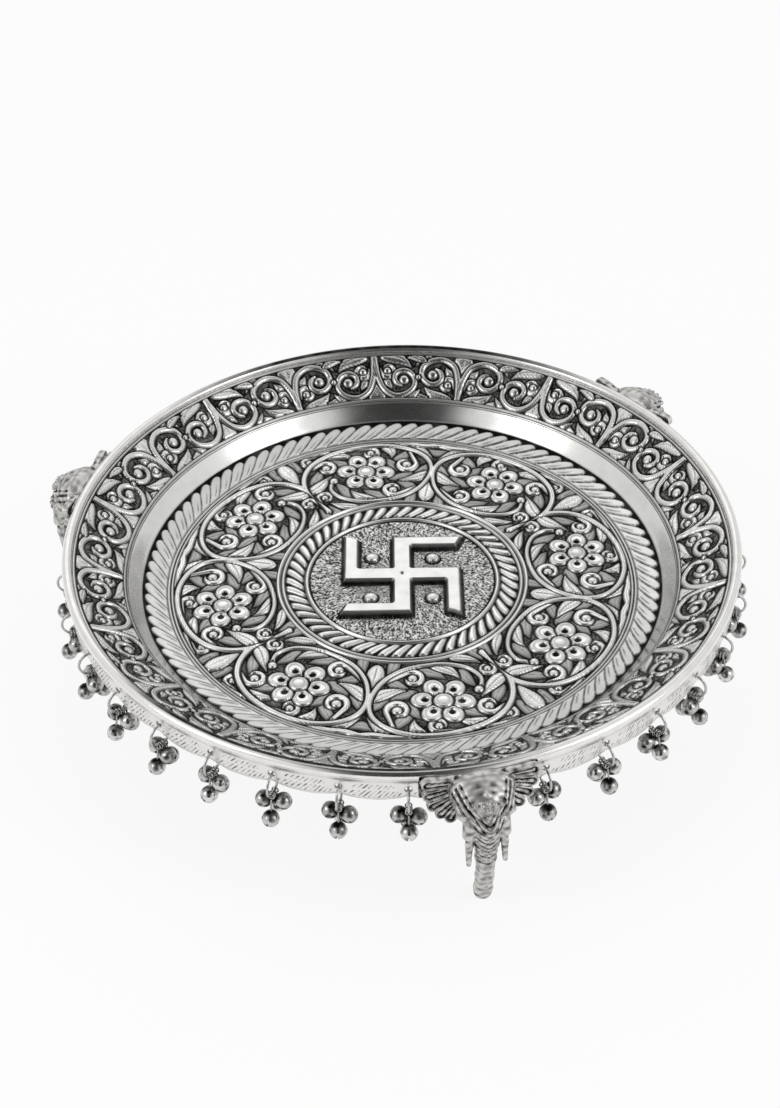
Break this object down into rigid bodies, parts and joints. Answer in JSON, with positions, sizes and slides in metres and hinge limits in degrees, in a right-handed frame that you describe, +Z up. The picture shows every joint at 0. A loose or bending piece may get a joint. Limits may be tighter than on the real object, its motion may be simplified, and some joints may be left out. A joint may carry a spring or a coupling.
{
  "type": "puja thali",
  "caption": "Round footed puja thali in oxidised white metal: chased dish, scalloped apron with hanging bell drops, cast elephant-head feet.",
  "frame": {"origin": "on the dish's axis, in the plane of the table that the feet stand on", "axes": "+Z up along the dish's axis, -Y towards the viewer of the picture, +X to the viewer's right"},
  "size_m": [0.2807, 0.2836, 0.0638],
  "materials": {
    "dish_metal": "chased white metal, oxidised dark in the recesses and polished on the wall and lip",
    "apron_metal": "chased white metal, lightly oxidised",
    "cast_metal": "cast white metal, oxidised in the recesses",
    "bell_metal": "polished white metal, darkened",
    "screw_metal": "plain",
    "wire_metal": "plain"
  },
  "bodies": {
    "thali": {"thali_dish": "dish_metal", "rim_wire": "wire_metal", "apron_right": "apron_metal", "apron_back": "apron_metal", "apron_left": "apron_metal", "elephant_foot_front": "cast_metal", "elephant_foot_right": "cast_metal", "elephant_foot_left": "cast_metal", "foot_screw_front_a": "screw_metal", "foot_screw_front_b": "screw_metal", "foot_screw_right_a": "screw_metal", "foot_screw_right_b": "screw_metal", "foot_screw_left_a": "screw_metal", "foot_screw_left_b": "screw_metal"},
    "drop_01": {"bell_drop_01": "bell_metal"},
    "drop_02": {"bell_drop_02": "bell_metal"},
    "drop_03": {"bell_drop_03": "bell_metal"},
    "drop_04": {"bell_drop_04": "bell_metal"},
    "drop_05": {"bell_drop_05": "bell_metal"},
    "drop_06": {"bell_drop_06": "bell_metal"},
    "drop_07": {"bell_drop_07": "bell_metal"},
    "drop_08": {"bell_drop_08": "bell_metal"},
    "drop_09": {"bell_drop_09": "bell_metal"},
    "drop_10": {"bell_drop_10": "bell_metal"},
    "drop_11": {"bell_drop_11": "bell_metal"},
    "drop_12": {"bell_drop_12": "bell_metal"},
    "drop_13": {"bell_drop_13": "bell_metal"},
    "drop_14": {"bell_drop_14": "bell_metal"},
    "drop_15": {"bell_drop_15": "bell_metal"},
    "drop_16": {"bell_drop_16": "bell_metal"},
    "drop_17": {"bell_drop_17": "bell_metal"},
    "drop_18": {"bell_drop_18": "bell_metal"},
    "drop_19": {"bell_drop_19": "bell_metal"},
    "drop_20": {"bell_drop_20": "bell_metal"},
    "drop_21": {"bell_drop_21": "bell_metal"},
    "drop_22": {"bell_drop_22": "bell_metal"},
    "drop_23": {"bell_drop_23": "bell_metal"},
    "drop_24": {"bell_drop_24": "bell_metal"},
    "drop_25": {"bell_drop_25": "bell_metal"},
    "drop_26": {"bell_drop_26": "bell_metal"},
    "drop_27": {"bell_drop_27": "bell_metal"},
    "drop_28": {"bell_drop_28": "bell_metal"},
    "drop_29": {"bell_drop_29": "bell_metal"},
    "drop_30": {"bell_drop_30": "bell_metal"}
  },
  "joints": [
    {"name": "drop_swing_01", "type": "hinge", "parent": "thali", "child": "drop_01", "pos_m": [0.04912, -0.12047, 0.0528], "axis": [-0.926, -0.3775, 0], "range_deg": [-45, 45]},
    {"name": "drop_swing_02", "type": "hinge", "parent": "thali", "child": "drop_02", "pos_m": [0.07117, -0.10891, 0.0528], "axis": [-0.8371, -0.547, 0], "range_deg": [-45, 45]},
    {"name": "drop_swing_03", "type": "hinge", "parent": "thali", "child": "drop_03", "pos_m": [0.09061, -0.09336, 0.0528], "axis": [-0.7176, -0.6965, 0], "range_deg": [-45, 45]},
    {"name": "drop_swing_04", "type": "hinge", "parent": "thali", "child": "drop_04", "pos_m": [0.10674, -0.07439, 0.0528], "axis": [-0.5718, -0.8204, 0], "range_deg": [-45, 45]},
    {"name": "drop_swing_05", "type": "hinge", "parent": "thali", "child": "drop_05", "pos_m": [0.11895, -0.05269, 0.0528], "axis": [-0.405, -0.9143, 0], "range_deg": [-45, 45]},
    {"name": "drop_swing_06", "type": "hinge", "parent": "thali", "child": "drop_06", "pos_m": [0.12681, -0.02907, 0.0528], "axis": [-0.2234, -0.9747, 0], "range_deg": [-45, 45]},
    {"name": "drop_swing_07", "type": "hinge", "parent": "thali", "child": "drop_07", "pos_m": [0.13003, -0.00438, 0.0528], "axis": [-0.0336, -0.9994, 0], "range_deg": [-45, 45]},
    {"name": "drop_swing_08", "type": "hinge", "parent": "thali", "child": "drop_08", "pos_m": [0.12848, 0.02047, 0.0528], "axis": [0.1574, -0.9875, 0], "range_deg": [-45, 45]},
    {"name": "drop_swing_09", "type": "hinge", "parent": "thali", "child": "drop_09", "pos_m": [0.12223, 0.04457, 0.0528], "axis": [0.3426, -0.9395, 0], "range_deg": [-45, 45]},
    {"name": "drop_swing_10", "type": "hinge", "parent": "thali", "child": "drop_10", "pos_m": [0.1115, 0.06704, 0.0528], "axis": [0.5153, -0.857, 0], "range_deg": [-45, 45]},
    {"name": "drop_swing_11", "type": "hinge", "parent": "thali", "child": "drop_11", "pos_m": [0.07821, 0.10396, 0.0528], "axis": [0.7991, -0.6012, 0], "range_deg": [-45, 45]},
    {"name": "drop_swing_12", "type": "hinge", "parent": "thali", "child": "drop_12", "pos_m": [0.05685, 0.11702, 0.0528], "axis": [0.8995, -0.4369, 0], "range_deg": [-45, 45]},
    {"name": "drop_swing_13", "type": "hinge", "parent": "thali", "child": "drop_13", "pos_m": [0.03337, 0.12575, 0.0528], "axis": [0.9665, -0.2565, 0], "range_deg": [-45, 45]},
    {"name": "drop_swing_14", "type": "hinge", "parent": "thali", "child": "drop_14", "pos_m": [0.00866, 0.12981, 0.0528], "axis": [0.9978, -0.0666, 0], "range_deg": [-45, 45]},
    {"name": "drop_swing_15", "type": "hinge", "parent": "thali", "child": "drop_15", "pos_m": [-0.01637, 0.12907, 0.0528], "axis": [0.9921, 0.1258, 0], "range_deg": [-45, 45]},
    {"name": "drop_swing_16", "type": "hinge", "parent": "thali", "child": "drop_16", "pos_m": [-0.04079, 0.12354, 0.0528], "axis": [0.9496, 0.3135, 0], "range_deg": [-45, 45]},
    {"name": "drop_swing_17", "type": "hinge", "parent": "thali", "child": "drop_17", "pos_m": [-0.0637, 0.11344, 0.0528], "axis": [0.8719, 0.4897, 0], "range_deg": [-45, 45]},
    {"name": "drop_swing_18", "type": "hinge", "parent": "thali", "child": "drop_18", "pos_m": [-0.08426, 0.09913, 0.0528], "axis": [0.7619, 0.6476, 0], "range_deg": [-45, 45]},
    {"name": "drop_swing_19", "type": "hinge", "parent": "thali", "child": "drop_19", "pos_m": [-0.10169, 0.08115, 0.0528], "axis": [0.6238, 0.7816, 0], "range_deg": [-45, 45]},
    {"name": "drop_swing_20", "type": "hinge", "parent": "thali", "child": "drop_20", "pos_m": [-0.11535, 0.06017, 0.0528], "axis": [0.4625, 0.8866, 0], "range_deg": [-45, 45]},
    {"name": "drop_swing_21", "type": "hinge", "parent": "thali", "child": "drop_21", "pos_m": [-0.12943, 0.01315, 0.0528], "axis": [0.1011, 0.9949, 0], "range_deg": [-45, 45]},
    {"name": "drop_swing_22", "type": "hinge", "parent": "thali", "child": "drop_22", "pos_m": [-0.12962, -0.01111, 0.0528], "axis": [-0.0854, 0.9963, 0], "range_deg": [-45, 45]},
    {"name": "drop_swing_23", "type": "hinge", "parent": "thali", "child": "drop_23", "pos_m": [-0.12531, -0.03499, 0.0528], "axis": [-0.2689, 0.9632, 0], "range_deg": [-45, 45]},
    {"name": "drop_swing_24", "type": "hinge", "parent": "thali", "child": "drop_24", "pos_m": [-0.11663, -0.05764, 0.0528], "axis": [-0.4431, 0.8965, 0], "range_deg": [-45, 45]},
    {"name": "drop_swing_25", "type": "hinge", "parent": "thali", "child": "drop_25", "pos_m": [-0.1039, -0.0783, 0.0528], "axis": [-0.6018, 0.7986, 0], "range_deg": [-45, 45]},
    {"name": "drop_swing_26", "type": "hinge", "parent": "thali", "child": "drop_26", "pos_m": [-0.08756, -0.09623, 0.0528], "axis": [-0.7396, 0.673, 0], "range_deg": [-45, 45]},
    {"name": "drop_swing_27", "type": "hinge", "parent": "thali", "child": "drop_27", "pos_m": [-0.06817, -0.11081, 0.0528], "axis": [-0.8517, 0.524, 0], "range_deg": [-45, 45]},
    {"name": "drop_swing_28", "type": "hinge", "parent": "thali", "child": "drop_28", "pos_m": [-0.04641, -0.12154, 0.0528], "axis": [-0.9342, 0.3567, 0], "range_deg": [-45, 45]},
    {"name": "drop_swing_29", "type": "hinge", "parent": "thali", "child": "drop_29", "pos_m": [-0.02304, -0.12804, 0.0528], "axis": [-0.9842, 0.1771, 0], "range_deg": [-45, 45]},
    {"name": "drop_swing_30", "type": "hinge", "parent": "thali", "child": "drop_30", "pos_m": [0.00114, -0.13009, 0.0528], "axis": [-1, -0.0087, 0], "range_deg": [-45, 45]}
  ]
}
